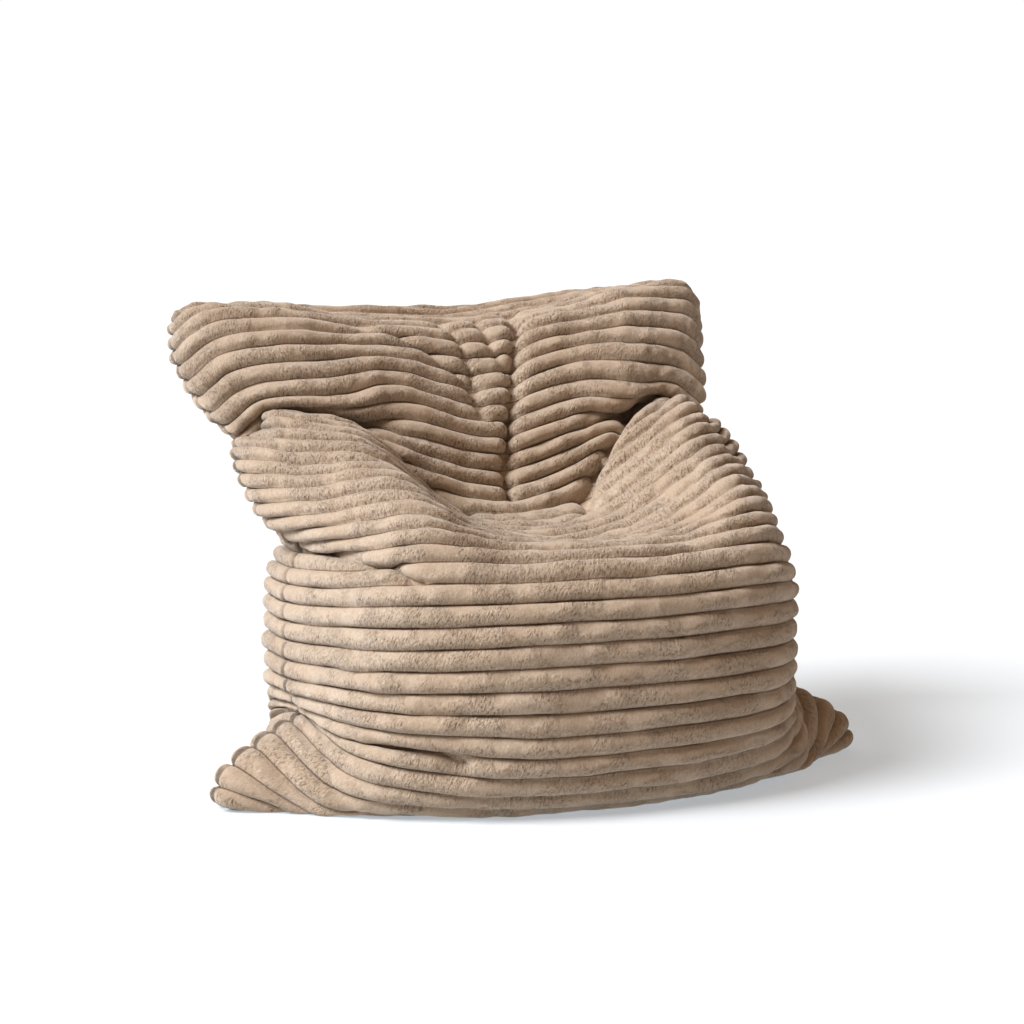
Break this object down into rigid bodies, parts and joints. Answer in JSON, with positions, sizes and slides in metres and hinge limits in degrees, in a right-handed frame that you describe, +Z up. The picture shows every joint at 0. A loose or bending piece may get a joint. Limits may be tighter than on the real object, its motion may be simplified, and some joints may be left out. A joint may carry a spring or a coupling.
{
  "type": "bean bag chair",
  "caption": "Giant pillow-shaped bean bag chair in ribbed plush, stood on its short edge, with a pressed-in seat, two arms, a high back and four soft corners.",
  "frame": {"origin": "on the floor, under the middle of the bag's bounding box", "axes": "+Z up, the seat opens towards -Y, the two zips and the width run along X"},
  "size_m": [1.24, 0.932, 0.8298],
  "materials": {
    "ribbed_plush": "warm beige short-pile plush with jumbo ribs",
    "zip_tape": "woven twill tape, beige",
    "zip_coil": "nylon coil, beige",
    "zip_metal": "die-cast, nickel plated",
    "liner_cloth": "off-white woven polyester",
    "liner_zip_tape": "woven twill tape, off-white",
    "liner_zip_coil": "nylon coil, off-white",
    "polystyrene_beads": "expanded polystyrene beads",
    "label_satin": "blank satin ribbon"
  },
  "bodies": {
    "bag": {"front_cover_panel": "ribbed_plush", "back_cover_panel": "ribbed_plush", "cover_zip_tape_front": "zip_tape", "cover_zip_tape_back": "zip_tape", "cover_zip_coil_front": "zip_coil", "cover_zip_coil_back": "zip_coil", "cover_zip_top_stop": "zip_metal", "cover_zip_bottom_stop": "zip_metal", "liner_front_panel": "liner_cloth", "liner_back_panel": "liner_cloth", "liner_zip_tape_front": "liner_zip_tape", "liner_zip_tape_back": "liner_zip_tape", "liner_zip_coil_front": "liner_zip_coil", "liner_zip_coil_back": "liner_zip_coil", "liner_zip_top_stop": "zip_metal", "liner_zip_bottom_stop": "zip_metal", "bead_filling": "polystyrene_beads", "care_label": "label_satin"},
    "cover_zip_pull": {"cover_zip_pull": "zip_metal"},
    "cover_zip_slider": {"cover_zip_slider": "zip_metal"},
    "liner_zip_slider": {"liner_zip_slider": "zip_metal"}
  },
  "joints": [
    {"name": "cover_zip_slide", "type": "slide", "parent": "bag", "child": "cover_zip_slider", "axis": [-1, 0, 0], "range_m": [0, 0.672]},
    {"name": "cover_zip_pull_hinge", "type": "hinge", "parent": "cover_zip_slider", "child": "cover_zip_pull", "pos_m": [0.3365, -0.118, 0.00395], "axis": [0, 1, 0], "range_deg": [0, 170]},
    {"name": "liner_zip_slide", "type": "slide", "parent": "bag", "child": "liner_zip_slider", "axis": [-1, 0, 0], "range_m": [0, 0.592]}
  ]
}
